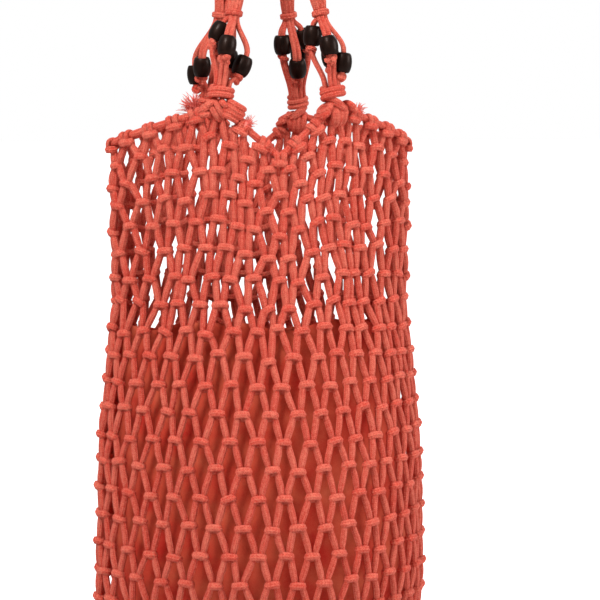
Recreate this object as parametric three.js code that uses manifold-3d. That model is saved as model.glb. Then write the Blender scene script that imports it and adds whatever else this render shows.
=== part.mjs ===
// String shopping bag of knotted cotton cord, hanging from the tops of its two handle loops.
// Millimetres. +Z is up, the front faces -Y and +X is to the right as seen from the front.
// The origin is where the handle loops bear on what the bag hangs from.

import * as THREE from 'three';
import { mergeVertices } from 'three/addons/utils/BufferGeometryUtils.js';
import Module from 'manifold-3d';

const wasm = await Module();
wasm.setup();

// Bag body
const BAG_WIDTH = 300; // widest, side to side
const BAG_DEPTH = 222; // widest, front to back
const BAG_HEIGHT = 439; // the net's edge at the rim corners to the underside
const HANG_HEIGHT = 349; // that edge below the place where the handles bear
const PEAK_RISE = 32; // the two rim peaks in front, above the rim corners
const BACK_PEAK_RISE = 24; // the two at the back
const NOTCH_DROP = 12; // the notch between two peaks, below the rim corners
const RISE_FADE = 60; // depth over which the rows of knots level out below the peaks
const MOUTH_SHIFT = 4.5; // middle of the mouth hangs this far to the right
const BACK_SQUEEZE = 0.18; // share by which the back hangs closer together at its middle
const HANG_FADE = 110; // depth over which these two fade out
const BOTTOM_LIFT = 18; // ends of the bottom seam above its middle
const SIDE_FULLNESS = 1.5; // 2 is an ellipse, less is a lens with its points at the sides

// Walls and cords
const NET_WALL = 9; // two cords thick, as at a knot
const RIM_THICKNESS = 10; // holding cord with the hitches round it
const LINING_WALL = 2;
const LINING_SLACK = 7.5; // between the net and the lining's sides
const LINING_EASING = 0.16; // slack lost per length of wall towards the bottom
const LINING_DROP = 150; // top edge of the lining below the net's edge
const FIT_GAP = 0.3; // between pieces that touch
const RIM_GAP = 0.8; // under the rim cord, where the net's edge twists a little

// Handle ends
const GATHER_WIDTH = 23;
const GATHER_HEIGHT = 13;
const GATHER_END = 18; // width of its flat top and underside
const GATHER_ROUNDING = 3.2; // height of its rounded edges
const FRONT_BASKET_HEIGHT = 59; // gather to upper wrap
const BACK_BASKET_HEIGHT = 68;
const BASKET_RADIUS = 12.5; // axis of the basket to the axis of a bead
const STRAND_THICKNESS = 5.2; // one double strand
const STRAND_FOOT = 3; // height of the foot where the four strands of a basket start
const STRAND_FOOT_WIDTH = 16.5;
const STRAND_STRAIGHT = 1; // straight run of a strand beyond each end of its bead
const STRAND_NECK = 5; // where they run together below the wrap
const STOPPER_WIDTH = 10; // knot on each strand that its bead rests on
const STOPPER_HEIGHT = 5;
const WRAP_WIDTH = 16;
const WRAP_HEIGHT = 6;
const WRAP_WALL = 2.5;
const HANDLE_THICKNESS = 15; // bundle of eight cords
const HANDLE_ARCH = 40; // width of the arch at the top of a loop, between centrelines
const FRONT_AIM = 14; // the front handle ends lean towards a place this far right of the top

// Beads
const BEAD_WIDTH = 16;
const BEAD_HEIGHT = 17;
const BEAD_BORE = 8;
const BEAD_END = 11.5; // width of the flat end of a bead
const BEAD_BELLY = 7; // height of its widest part

// Counts
const COLUMNS = 36; // steps round the bag, two to a gap
const GAP_ROWS = 6;
const PEAK_COLUMN = 3; // steps from the middle of a panel to its peaks
const SOLID_ROWS = 2; // below the last gaps
const LINING_ROWS = 6;
const ROUND_SIDES = 10;
const STRAND_SIDES = 5;
const STRAND_STEPS = 7;
const HANDLE_STEPS = 28;
const RIM_SIDES = 6;

// Profile of the body from the rim to the underside, as shares of height, width and depth
const PROFILE = [
  { down: 0.0, width: 0.9, depth: 0.58 },
  { down: 0.14, width: 0.905, depth: 0.6 },
  { down: 0.29, width: 0.895, depth: 0.66 },
  { down: 0.43, width: 0.932, depth: 0.8 },
  { down: 0.58, width: 0.98, depth: 0.93 },
  { down: 0.73, width: 0.99, depth: 1.0 },
  { down: 0.86, width: 1.0, depth: 0.97 },
  { down: 0.945, width: 0.98, depth: 0.82 },
  { down: 0.985, width: 0.93, depth: 0.55 },
  { down: 1.0, width: 0.87, depth: 0.12 },
];
const GAPS_END = 0.86; // share of the wall's length that holds the gaps
const FIRST_ROW = 0.6; // the row below the rim, as a share of the rows below it

// A gap is a hexagon in its diamond of the net: half sizes as shares of a column and a row
const GAP_SHAPE = { middle: 0.7, flat: 0.12, rise: 0.66 };

// The four handle ends
const ENDS = [
  { name: 'front_left', side: -1, depth: -1 },
  { name: 'front_right', side: 1, depth: -1 },
  { name: 'back_left', side: -1, depth: 1 },
  { name: 'back_right', side: 1, depth: 1 },
];

// Beads of each end: place across the basket as shares of its radius, height as a share of the
// basket's, and lean towards the basket's axis in degrees
const BEADS = {
  front_left: [
    { name: 'upper', across: -0.8, back: 0.1, rise: 0.745, tilt: 18 },
    { name: 'middle', across: -0.27, back: -1.0, rise: 0.52, tilt: 4 },
    { name: 'rear', across: 0.35, back: 1.15, rise: 0.415, tilt: -8 },
    { name: 'lower', across: 1.13, back: 0.0, rise: 0.317, tilt: -14 },
  ],
  front_right: [
    { name: 'upper', across: -0.72, back: 0.35, rise: 0.745, tilt: 14 },
    { name: 'middle', across: 0.0, back: -1.0, rise: 0.528, tilt: 4 },
    { name: 'rear', across: 0.5, back: 1.15, rise: 0.44, tilt: -8 },
    { name: 'lower', across: 0.93, back: -0.35, rise: 0.28, tilt: -14 },
  ],
  back_left: [
    { name: 'upper', across: 0.3, back: 0.95, rise: 0.72, tilt: 14 },
    { name: 'middle', across: 0.9, back: -0.35, rise: 0.5, tilt: 4 },
    { name: 'rear', across: -0.95, back: -0.7, rise: 0.36, tilt: -8 },
    { name: 'lower', across: -1.05, back: 0.7, rise: 0.22, tilt: -14 },
  ],
  back_right: [
    { name: 'upper', across: 0.95, back: 0.05, rise: 0.72, tilt: 12 },
    { name: 'middle', across: -0.75, back: -0.45, rise: 0.688, tilt: 4 },
    { name: 'rear', across: 0.7, back: 1.1, rise: 0.49, tilt: -8 },
    { name: 'lower', across: 0.05, back: -1.0, rise: 0.374, tilt: -14 },
  ],
};

const UP = new THREE.Vector3(0, 0, 1);
const turnTo = (direction) => new THREE.Quaternion().setFromUnitVectors(UP, direction);

// Materials
const cotton = (name, color) =>
  new THREE.MeshStandardMaterial({ name, color, roughness: 0.92, metalness: 0 });
const cordMaterial = cotton('cord', 0xd65a48);
const liningMaterial = cotton('lining', 0xb04a33);
const woodMaterial = new THREE.MeshStandardMaterial({
  name: 'bead_wood',
  color: 0x1e1613,
  roughness: 0.38,
  metalness: 0,
});

// Profile curve whose points are depth below the rim, half width and half depth
const profile = new THREE.CatmullRomCurve3(
  PROFILE.map(
    (row) =>
      new THREE.Vector3(
        row.down * BAG_HEIGHT,
        (row.width * BAG_WIDTH) / 2,
        (row.depth * BAG_DEPTH) / 2,
      ),
  ),
);
profile.arcLengthDivisions = 400;

// Points of one section at even steps of its own length, starting at the front middle
const SECTION_SAMPLES = 720;
const sections = new Map();
function sectionAt(along) {
  if (sections.has(along)) {
    return sections.get(along);
  }
  const size = profile.getPointAt(Math.min(Math.max(along, 0), 1));
  const outline = [];
  const lengths = [0];
  for (let i = 0; i <= SECTION_SAMPLES; i += 1) {
    const turn = (2 * Math.PI * i) / SECTION_SAMPLES;
    const front = Math.cos(turn);
    const y = -size.z * Math.sign(front) * Math.abs(front) ** (2 / SIDE_FULLNESS);
    outline.push(new THREE.Vector2(size.y * Math.sin(turn), y));
    if (i > 0) {
      lengths.push(lengths[i - 1] + outline[i].distanceTo(outline[i - 1]));
    }
  }
  const section = { size, outline, lengths };
  sections.set(along, section);
  return section;
}

// Height of the rim above its corners, by share of the way round
function rimRise(share) {
  const half = Math.abs((((share * 2) % 1) + 1) % 1);
  const fromMiddle = Math.min(half, 1 - half) / 2;
  const peak = PEAK_COLUMN / COLUMNS;
  const top = Math.abs(share - 0.5) < 0.25 ? BACK_PEAK_RISE : PEAK_RISE;
  if (fromMiddle < peak) {
    return THREE.MathUtils.lerp(-NOTCH_DROP, top, fromMiddle / peak);
  }
  return THREE.MathUtils.lerp(top, 0, (fromMiddle - peak) / (0.25 - peak));
}

// Point on the outside of the body: share of the way round, share of the way down the wall
function bodyPoint(share, along) {
  const { size, outline, lengths } = sectionAt(along);
  const wrapped = ((share % 1) + 1) % 1;
  const target = wrapped * lengths[SECTION_SAMPLES];
  let low = 0;
  let high = SECTION_SAMPLES;
  while (high - low > 1) {
    const middle = (low + high) >> 1;
    if (lengths[middle] <= target) {
      low = middle;
    } else {
      high = middle;
    }
  }
  const step = (target - lengths[low]) / (lengths[high] - lengths[low]);
  const flat = outline[low].clone().lerp(outline[high], step);
  const lift = BOTTOM_LIFT * (flat.x / size.y) ** 2 * along ** 8;
  const rise = rimRise(wrapped) * Math.exp(-size.x / RISE_FADE);
  const hang = (1 - (flat.x / size.y) ** 2) * Math.exp(-Math.max(size.x, 0) / HANG_FADE);
  const squeeze = flat.y > 0 ? BACK_SQUEEZE * flat.x : 0;
  const x = flat.x + hang * (MOUTH_SHIFT - squeeze);
  return new THREE.Vector3(x, flat.y, -HANG_HEIGHT - size.x + rise + lift);
}

// Direction out of the wall: level at the rim, straight down at the bottom
function wallNormal(share, along) {
  const step = 0.004;
  if (along > 1 - step) {
    return UP.clone().negate();
  }
  const across = bodyPoint(share + step, along).sub(bodyPoint(share - step, along));
  const upward = bodyPoint(share, Math.max(along - step, 0)).sub(bodyPoint(share, along + step));
  const normal = across.cross(upward);
  if (along < step) {
    normal.z = 0;
  }
  return normal.normalize();
}

function insetPoint(share, along, inset) {
  return bodyPoint(share, along).addScaledVector(wallNormal(share, along), -inset);
}

// Closed surface gathered from shared points and faces
class Surface {
  constructor() {
    this.positions = [];
    this.faces = [];
    this.known = new Map();
  }

  point(key, place) {
    if (!this.known.has(key)) {
      this.known.set(key, this.positions.length / 3);
      const { x, y, z } = place();
      this.positions.push(x, y, z);
    }
    return this.known.get(key);
  }

  // Fan of a polygon given in order, anticlockwise from outside
  polygon(points, flip = false) {
    const ring = points.filter((point, i) => point !== points[(i + 1) % points.length]);
    for (let i = 1; i + 1 < ring.length; i += 1) {
      const face = [ring[0], ring[i], ring[i + 1]];
      this.faces.push(...(flip ? face.reverse() : face));
    }
  }

  geometry() {
    const geometry = new THREE.BufferGeometry();
    geometry.setAttribute('position', new THREE.Float32BufferAttribute(this.positions, 3));
    geometry.setIndex(this.faces);
    geometry.computeVertexNormals();
    return geometry;
  }
}

// Both skins of a pouch wall, closed by an edge round the mouth and a strip along the bottom
function pouchSurface(insetAt, alongAt, lastRow, fillWall) {
  const surface = new Surface();
  const wrap = (column) => ((column % COLUMNS) + COLUMNS) % COLUMNS;
  const place = (skin, column, row) =>
    insetPoint(column / COLUMNS, alongAt(row), insetAt(skin, alongAt(row)));
  const at = (skin, column, row) =>
    surface.point(`${skin} ${wrap(column)} ${row}`, () => place(skin, column, row));
  for (const skin of [0, 1]) {
    const flip = skin === 1;
    fillWall(surface, (column, row) => at(skin, column, row), skin, flip);
    // Strip across the bottom, from the front wall to the back wall
    for (let k = -COLUMNS / 4; k < COLUMNS / 4; k += 1) {
      const front = [at(skin, k + 1, lastRow), at(skin, k, lastRow)];
      const back = [at(skin, COLUMNS / 2 - k, lastRow), at(skin, COLUMNS / 2 - k - 1, lastRow)];
      surface.polygon([...front, ...back], flip);
    }
  }
  for (let k = 0; k < COLUMNS; k += 1) {
    surface.polygon([at(0, k, 0), at(0, k + 1, 0), at(1, k + 1, 0), at(1, k, 0)]);
  }
  return surface;
}

function fillRows(surface, at, firstRow, lastRow, flip) {
  for (let row = firstRow; row < lastRow; row += 1) {
    for (let k = 0; k < COLUMNS; k += 1) {
      const quad = [at(k, row + 1), at(k + 1, row + 1), at(k + 1, row), at(k, row)];
      surface.polygon(quad.slice(0, 3), flip);
      surface.polygon([quad[0], quad[2], quad[3]], flip);
    }
  }
}

// Net body: a diamond lattice with a hexagonal gap in each diamond
function netGeometry() {
  const latticeEnd = GAP_ROWS + 1;
  const rowStep = GAPS_END / (latticeEnd - 1 + FIRST_ROW);
  const alongAt = (row) => {
    if (row > latticeEnd) {
      return GAPS_END + ((1 - GAPS_END) * (row - latticeEnd)) / SOLID_ROWS;
    }
    return row < 1 ? row * rowStep * FIRST_ROW : (row - 1 + FIRST_ROW) * rowStep;
  };
  const insets = [0, NET_WALL];
  const insetAt = (skin) => insets[skin];
  const lastRow = latticeEnd + SOLID_ROWS;
  const { middle, flat, rise } = GAP_SHAPE;
  const corners = [
    [-flat, -rise],
    [-middle, 0],
    [-flat, rise],
    [flat, rise],
    [middle, 0],
    [flat, -rise],
  ];
  const holes = new Map();

  const fillWall = (surface, at, skin, flip) => {
    for (let row = 0; row <= latticeEnd; row += 1) {
      for (let k = 0; k < COLUMNS; k += 1) {
        if ((k + row) % 2 === 0) {
          continue;
        }
        const left = at(k - 1, row);
        const right = at(k + 1, row);
        if (row === 0) {
          const below = at(k, row + 1);
          surface.polygon([at(k, row), left, below], flip);
          surface.polygon([at(k, row), below, right], flip);
          continue;
        }
        const above = at(k, row - 1);
        if (row === latticeEnd) {
          surface.polygon([at(k, row), right, above], flip);
          surface.polygon([at(k, row), above, left], flip);
          continue;
        }
        const below = at(k, row + 1);
        const hole = corners.map(([across, down], i) =>
          surface.point(`hole ${skin} ${k} ${row} ${i}`, () =>
            insetPoint((k + across) / COLUMNS, alongAt(row + down), insets[skin]),
          ),
        );
        holes.set(`${skin} ${k} ${row}`, hole);
        const [topLeft, sideLeft, lowLeft, lowRight, sideRight, topRight] = hole;
        const fans = [
          [topLeft, topRight, above],
          [topLeft, above, left, sideLeft],
          [sideLeft, left, below, lowLeft],
          [lowLeft, below, lowRight],
          [lowRight, below, right, sideRight],
          [sideRight, right, above, topRight],
        ];
        fans.forEach((fan) => surface.polygon(fan, flip));
      }
    }
    fillRows(surface, at, latticeEnd, lastRow, flip);
  };

  const surface = pouchSurface(insetAt, alongAt, lastRow, fillWall);
  for (const [key, outer] of holes) {
    if (!key.startsWith('0')) {
      continue;
    }
    const inner = holes.get(`1${key.slice(1)}`);
    outer.forEach((point, i) => {
      const next = (i + 1) % outer.length;
      surface.polygon([point, outer[next], inner[next], inner[i]]);
    });
  }
  return surface.geometry();
}

// Share of the wall's length at a depth below the rim corners
function alongAtDepth(depth) {
  let low = 0;
  let high = 1;
  while (high - low > 1e-6) {
    const middle = (low + high) / 2;
    if (profile.getPointAt(middle).x < depth) {
      low = middle;
    } else {
      high = middle;
    }
  }
  return low;
}

// Lining: an open pouch that rests in the bottom of the net and stands clear of its sides
function liningGeometry() {
  const start = alongAtDepth(LINING_DROP);
  const alongAt = (row) => start + ((1 - start) * row) / LINING_ROWS;
  const insets = [0, LINING_WALL];
  const easing = (profile.getLength() / LINING_SLACK) * LINING_EASING;
  const insetAt = (skin, along) =>
    NET_WALL + FIT_GAP + LINING_SLACK * Math.min(1, (1 - along) * easing) + insets[skin];
  const fillWall = (surface, at, skin, flip) => fillRows(surface, at, 0, LINING_ROWS, flip);
  return pouchSurface(insetAt, alongAt, LINING_ROWS, fillWall).geometry();
}

// Rim cord: a mitred tube along the middle of the net's top edge, just above it
const RIM_RADIUS = RIM_THICKNESS / 2;
function rimRings() {
  const path = [];
  for (let k = 0; k < COLUMNS; k += 1) {
    path.push(insetPoint(k / COLUMNS, 0, NET_WALL / 2));
  }
  const segments = path.map((point, k) => {
    const run = path[(k + 1) % COLUMNS].clone().sub(point).normalize();
    const out = run.clone().cross(UP).normalize();
    return { out, above: out.clone().cross(run).normalize() };
  });
  return path.map((point, k) => {
    const before = segments[(k + COLUMNS - 1) % COLUMNS];
    const after = segments[k];
    const out = before.out.clone().add(after.out).normalize();
    const above = before.above.clone().add(after.above).normalize();
    const outScale = 1 / out.dot(after.out);
    const aboveScale = 1 / above.dot(after.above);
    const centre = point.clone().addScaledVector(above, (RIM_RADIUS + RIM_GAP) * aboveScale);
    const ring = [];
    for (let i = 0; i < RIM_SIDES; i += 1) {
      const turn = (2 * Math.PI * i) / RIM_SIDES - Math.PI / 2;
      ring.push(
        centre
          .clone()
          .addScaledVector(out, RIM_RADIUS * Math.cos(turn) * outScale)
          .addScaledVector(above, RIM_RADIUS * Math.sin(turn) * aboveScale),
      );
    }
    return ring;
  });
}

function rimGeometry(rings) {
  const surface = new Surface();
  const at = (k, i) =>
    surface.point(`${k % COLUMNS} ${i % RIM_SIDES}`, () => rings[k % COLUMNS][i % RIM_SIDES]);
  for (let k = 0; k < COLUMNS; k += 1) {
    for (let i = 0; i < RIM_SIDES; i += 1) {
      surface.polygon([at(k, i), at(k + 1, i), at(k + 1, i + 1), at(k, i + 1)]);
    }
  }
  return surface.geometry();
}

// Solid turned about Z from radius and height pairs
function turned(outline) {
  const points = outline.map(([radius, height]) => new THREE.Vector2(radius, height));
  return new THREE.LatheGeometry(points, ROUND_SIDES).rotateX(Math.PI / 2);
}

function tube(curve, thickness, sides, steps) {
  const shape = new THREE.Shape();
  for (let i = 0; i < sides; i += 1) {
    const turn = (2 * Math.PI * i) / sides;
    const x = (thickness / 2) * Math.cos(turn);
    const y = (thickness / 2) * Math.sin(turn);
    if (i === 0) {
      shape.moveTo(x, y);
    } else {
      shape.lineTo(x, y);
    }
  }
  shape.closePath();
  return new THREE.ExtrudeGeometry(shape, { steps, bevelEnabled: false, extrudePath: curve });
}

// Closed geometry to solid and back
function toSolid(geometry) {
  const bare = geometry.clone();
  bare.deleteAttribute('normal');
  bare.deleteAttribute('uv');
  const merged = mergeVertices(bare, 1e-4);
  return new wasm.Manifold(
    new wasm.Mesh({
      numProp: 3,
      vertProperties: new Float32Array(merged.attributes.position.array),
      triVerts: new Uint32Array(merged.index.array),
    }),
  );
}

function toGeometry(solid) {
  const mesh = solid.getMesh();
  const geometry = new THREE.BufferGeometry();
  geometry.setAttribute('position', new THREE.BufferAttribute(mesh.vertProperties, 3));
  geometry.setIndex(new THREE.BufferAttribute(mesh.triVerts, 1));
  geometry.computeVertexNormals();
  return geometry;
}

function piece(name, geometry, material) {
  const mesh = new THREE.Mesh(geometry, material);
  mesh.name = name;
  return mesh;
}

// Gather: the wound knot on a rim peak
function gatherGeometry() {
  const radius = GATHER_WIDTH / 2;
  const end = GATHER_END / 2;
  return turned([
    [0, 0],
    [end, 0],
    [radius, GATHER_ROUNDING],
    [radius, GATHER_HEIGHT - GATHER_ROUNDING],
    [end, GATHER_HEIGHT],
    [0, GATHER_HEIGHT],
  ]);
}

// Wrap: the short winding that closes a basket, a ring round the strands' upper end
function wrapGeometry() {
  const outer = WRAP_WIDTH / 2;
  const inner = outer - WRAP_WALL;
  return turned([
    [inner, 0],
    [outer, 0],
    [outer, WRAP_HEIGHT],
    [inner, WRAP_HEIGHT],
    [inner, 0],
  ]);
}

// Barrel bead with a straight bore
function beadGeometry() {
  const bore = BEAD_BORE / 2;
  const half = BEAD_HEIGHT / 2;
  const wide = BEAD_WIDTH / 2;
  const end = BEAD_END / 2;
  return turned([
    [bore, -half],
    [end, -half],
    [wide, -BEAD_BELLY / 2],
    [wide, BEAD_BELLY / 2],
    [end, half],
    [bore, half],
    [bore, -half],
  ]);
}

// Route of one double strand: foot, straight through its bead, head
const HEAD_RADIUS = WRAP_WIDTH / 2 - WRAP_WALL - FIT_GAP;
const FOOT_RADIUS = STRAND_FOOT_WIDTH / 2;
function strandRoute(bead, basketHeight) {
  const off = new THREE.Vector3(bead.across, bead.back, 0).multiplyScalar(BASKET_RADIUS);
  const inward = off.clone().normalize();
  const centre = off.clone().setZ(bead.rise * basketHeight);
  const straight = BEAD_HEIGHT / 2 + STRAND_STRAIGHT;
  const lean = Math.tan(THREE.MathUtils.degToRad(bead.tilt));
  const direction = UP.clone().addScaledVector(inward, -lean).normalize();
  const below = centre.clone().addScaledVector(direction, -straight);
  const above = centre.clone().addScaledVector(direction, straight);
  const foot = inward.clone().multiplyScalar(FOOT_RADIUS - STRAND_THICKNESS / 2);
  foot.z = STRAND_FOOT / 2;
  const head = inward.clone().multiplyScalar(HEAD_RADIUS / 3);
  head.z = basketHeight - STRAND_NECK / 2;
  const bend = (from, to) => from.distanceTo(to) / 3;
  const lower = bend(foot, below);
  const upper = bend(above, head);
  const route = new THREE.CurvePath();
  const footHandle = foot.clone().addScaledVector(UP, lower);
  const belowHandle = below.clone().addScaledVector(direction, -lower);
  const aboveHandle = above.clone().addScaledVector(direction, upper);
  const headHandle = head.clone().addScaledVector(UP, -upper);
  route.add(new THREE.CubicBezierCurve3(foot, footHandle, belowHandle, below));
  route.add(new THREE.LineCurve3(below, above));
  route.add(new THREE.CubicBezierCurve3(above, aboveHandle, headHandle, head));
  return { centre, direction, route };
}

function strandsGeometry(beads, basketHeight) {
  const foot = new THREE.CylinderGeometry(FOOT_RADIUS, FOOT_RADIUS, STRAND_FOOT, ROUND_SIDES);
  foot.rotateX(Math.PI / 2).translate(0, 0, STRAND_FOOT / 2);
  const headHeight = WRAP_HEIGHT + STRAND_NECK;
  const head = new THREE.CylinderGeometry(HEAD_RADIUS, HEAD_RADIUS, headHeight, ROUND_SIDES);
  head.rotateX(Math.PI / 2).translate(0, 0, basketHeight + WRAP_HEIGHT - headHeight / 2);
  let solid = toSolid(foot).add(toSolid(head));
  const radius = STOPPER_WIDTH / 2;
  const stopperDrop = -(BEAD_HEIGHT + STOPPER_HEIGHT) / 2 - FIT_GAP;
  for (const bead of beads) {
    const { route, centre, direction } = strandRoute(bead, basketHeight);
    solid = solid.add(toSolid(tube(route, STRAND_THICKNESS, STRAND_SIDES, STRAND_STEPS)));
    const stopper = new THREE.CylinderGeometry(radius, radius, STOPPER_HEIGHT, STRAND_SIDES);
    stopper.rotateX(Math.PI / 2).translate(0, 0, stopperDrop);
    stopper.applyQuaternion(turnTo(direction)).translate(centre.x, centre.y, centre.z);
    solid = solid.add(toSolid(stopper));
  }
  return toGeometry(solid);
}

// One handle end: a group on its rim peak that leans towards the top of its handle loop
function handleEnd(end, rings) {
  const peakShare = (end.depth < 0 ? 0 : 0.5) - (end.side * end.depth * PEAK_COLUMN) / COLUMNS;
  const peakColumn = Math.round((((peakShare % 1) + 1) % 1) * COLUMNS) % COLUMNS;
  const ring = rings[peakColumn];
  const seat = ring.reduce((sum, point) => sum.add(point), new THREE.Vector3());
  seat.multiplyScalar(1 / RIM_SIDES);
  seat.z = Math.max(...ring.map((point) => point.z));
  const aim = handleTop(end.depth);
  aim.x += end.depth < 0 ? FRONT_AIM : 0;
  const axis = aim.sub(seat).normalize();
  seat.z += FIT_GAP;

  const group = new THREE.Group();
  group.position.copy(seat);
  group.quaternion.copy(turnTo(axis));
  group.add(piece(`gather_${end.name}`, gatherGeometry(), cordMaterial));
  const basket = new THREE.Group();
  basket.position.z = GATHER_HEIGHT + FIT_GAP;
  const beads = BEADS[end.name];
  const basketHeight = end.depth < 0 ? FRONT_BASKET_HEIGHT : BACK_BASKET_HEIGHT;
  basket.add(piece(`strands_${end.name}`, strandsGeometry(beads, basketHeight), cordMaterial));
  for (const bead of beads) {
    const { centre, direction } = strandRoute(bead, basketHeight);
    const ball = piece(`bead_${end.name}_${bead.name}`, beadGeometry(), woodMaterial);
    ball.position.copy(centre);
    ball.quaternion.copy(turnTo(direction));
    basket.add(ball);
  }
  const wrap = piece(`wrap_${end.name}`, wrapGeometry(), cordMaterial);
  wrap.position.z = basketHeight;
  basket.add(wrap);
  group.add(basket);
  const length = GATHER_HEIGHT + basketHeight + WRAP_HEIGHT + 2 * FIT_GAP;
  const start = seat.clone().addScaledVector(axis, length);
  return { group, start, axis };
}

// Middle of a handle's arch, where its underside bears at the height of the origin
function handleTop(depthSign) {
  const y = depthSign * (HANDLE_THICKNESS / 2 + FIT_GAP);
  return new THREE.Vector3(0, y, HANDLE_THICKNESS / 2);
}

// Handle: one bundle from a left end, over the arch and down to the right end
const ROUND_HANDLE = 0.5523; // handle length of a Bezier quarter circle, per radius
function handleGeometry(left, right, depthSign) {
  const top = handleTop(depthSign);
  const radius = HANDLE_ARCH / 2;
  const half = (end) => {
    const outward = new THREE.Vector3(Math.sign(end.start.x), 0, 0);
    const side = top.clone().addScaledVector(outward, radius).addScaledVector(UP, -radius);
    const reach = side.distanceTo(end.start) / 3;
    const leaving = end.start.clone().addScaledVector(end.axis, reach);
    const arriving = side.clone().addScaledVector(UP, -reach);
    const rising = side.clone().addScaledVector(UP, radius * ROUND_HANDLE);
    const levelling = top.clone().addScaledVector(outward, radius * ROUND_HANDLE);
    return [
      [end.start, leaving, arriving, side],
      [side, rising, levelling, top],
    ];
  };
  const route = new THREE.CurvePath();
  const descent = half(right).map((points) => points.reverse());
  for (const points of [...half(left), ...descent.reverse()]) {
    route.add(new THREE.CubicBezierCurve3(...points));
  }
  return tube(route, HANDLE_THICKNESS, ROUND_SIDES, HANDLE_STEPS);
}

const bag = new THREE.Group();
bag.add(piece('net_body', netGeometry(), cordMaterial));
bag.add(piece('lining', liningGeometry(), liningMaterial));
const rings = rimRings();
bag.add(piece('rim_cord', rimGeometry(rings), cordMaterial));
const ends = Object.fromEntries(ENDS.map((end) => [end.name, handleEnd(end, rings)]));
for (const { group } of Object.values(ends)) {
  bag.add(group);
}
const front = handleGeometry(ends.front_left, ends.front_right, -1);
const back = handleGeometry(ends.back_left, ends.back_right, 1);
bag.add(piece('handle_front', front, cordMaterial));
bag.add(piece('handle_back', back, cordMaterial));

export default bag;
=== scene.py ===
import math

import bmesh
import bpy
import numpy as np
from mathutils import Matrix, Vector


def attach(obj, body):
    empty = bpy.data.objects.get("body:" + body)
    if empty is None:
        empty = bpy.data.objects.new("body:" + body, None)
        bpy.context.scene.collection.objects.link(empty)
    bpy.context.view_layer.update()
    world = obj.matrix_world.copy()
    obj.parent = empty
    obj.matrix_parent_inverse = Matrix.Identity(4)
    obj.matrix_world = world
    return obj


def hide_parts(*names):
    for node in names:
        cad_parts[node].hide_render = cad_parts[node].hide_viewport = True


# String shopping bag of knotted cotton cord, hanging. Metres. +Z up, front towards -Y.

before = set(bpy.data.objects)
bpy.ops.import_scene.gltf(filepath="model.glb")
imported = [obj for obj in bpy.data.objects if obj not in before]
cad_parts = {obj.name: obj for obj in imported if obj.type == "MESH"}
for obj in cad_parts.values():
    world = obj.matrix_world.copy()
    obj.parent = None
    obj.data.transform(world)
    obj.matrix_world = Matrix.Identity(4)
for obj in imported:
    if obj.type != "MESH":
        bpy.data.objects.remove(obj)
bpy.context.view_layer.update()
bpy.ops.object.select_all(action="DESELECT")
scene = bpy.context.scene
MM = 0.001
draw = np.random.default_rng(41)

# ---------------------------------------------------------------- camera
AIM = Vector((0.0336, -0.0071, -0.4805))
CAMERA_TURN = math.radians(-12)
CAMERA_RISE = math.radians(4.6)
CAMERA_DISTANCE = 2.2
LENS = 150

back = Vector(
    (
        math.sin(CAMERA_TURN) * math.cos(CAMERA_RISE),
        -math.cos(CAMERA_TURN) * math.cos(CAMERA_RISE),
        math.sin(CAMERA_RISE),
    )
)
bpy.ops.object.camera_add(location=AIM + back * CAMERA_DISTANCE)
camera = bpy.context.object
camera.name = "studio_camera"
camera.rotation_mode = "QUATERNION"
camera.rotation_quaternion = (-back).to_track_quat("-Z", "Y")
camera.data.lens = LENS
camera.data.sensor_width = 36
scene.camera = camera

# ---------------------------------------------------------------- sizes of the bag
BAG_WIDTH = 300 * MM
BAG_DEPTH = 222 * MM
BAG_HEIGHT = 439 * MM
HANG_HEIGHT = 349 * MM
PEAK_RISE = 32 * MM
BACK_PEAK_RISE = 24 * MM
NOTCH_DROP = 12 * MM
RISE_FADE = 60 * MM
MOUTH_SHIFT = 4.5 * MM
BACK_SQUEEZE = 0.18
HANG_FADE = 110 * MM
BOTTOM_LIFT = 18 * MM
SIDE_FULLNESS = 1.5
NET_WALL = 9 * MM
FIT_GAP = 0.3 * MM
PEAK_SHARE = 3 / 36
PROFILE = np.array(
    [
        (0.0, 0.9, 0.58),
        (0.14, 0.905, 0.6),
        (0.29, 0.895, 0.66),
        (0.43, 0.932, 0.8),
        (0.58, 0.98, 0.93),
        (0.73, 0.99, 1.0),
        (0.86, 1.0, 0.97),
        (0.945, 0.98, 0.82),
        (0.985, 0.93, 0.55),
        (1.0, 0.87, 0.12),
    ]
)


# ---------------------------------------------------------------- form of the wall
def profile_line(samples=401):
    """Depth below the rim, half width and half depth, at even steps of the profile's length."""
    rows = PROFILE * (BAG_HEIGHT, BAG_WIDTH / 2, BAG_DEPTH / 2)
    rows = np.vstack([2 * rows[0] - rows[1], rows, 2 * rows[-1] - rows[-2]])
    line = []
    for t in np.linspace(0, len(PROFILE) - 1, samples):
        i = min(int(t), len(PROFILE) - 2)
        w = t - i
        p0, p1, p2, p3 = rows[i : i + 4]
        d0, d1, d2 = (math.sqrt(np.linalg.norm(q - p)) for p, q in ((p0, p1), (p1, p2), (p2, p3)))
        leave = ((p1 - p0) / d0 - (p2 - p0) / (d0 + d1) + (p2 - p1) / d1) * d1
        meet = ((p2 - p1) / d1 - (p3 - p1) / (d1 + d2) + (p3 - p2) / d2) * d1
        square = -3 * p1 + 3 * p2 - 2 * leave - meet
        cube = 2 * p1 - 2 * p2 + leave + meet
        line.append(p1 + leave * w + square * w**2 + cube * w**3)
    line = np.array(line)
    run = np.r_[0, np.cumsum(np.linalg.norm(np.diff(line, axis=0), axis=1))]
    even = np.linspace(0, run[-1], samples)
    return np.stack([np.interp(even, run, line[:, k]) for k in range(3)], 1), run[-1]


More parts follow.
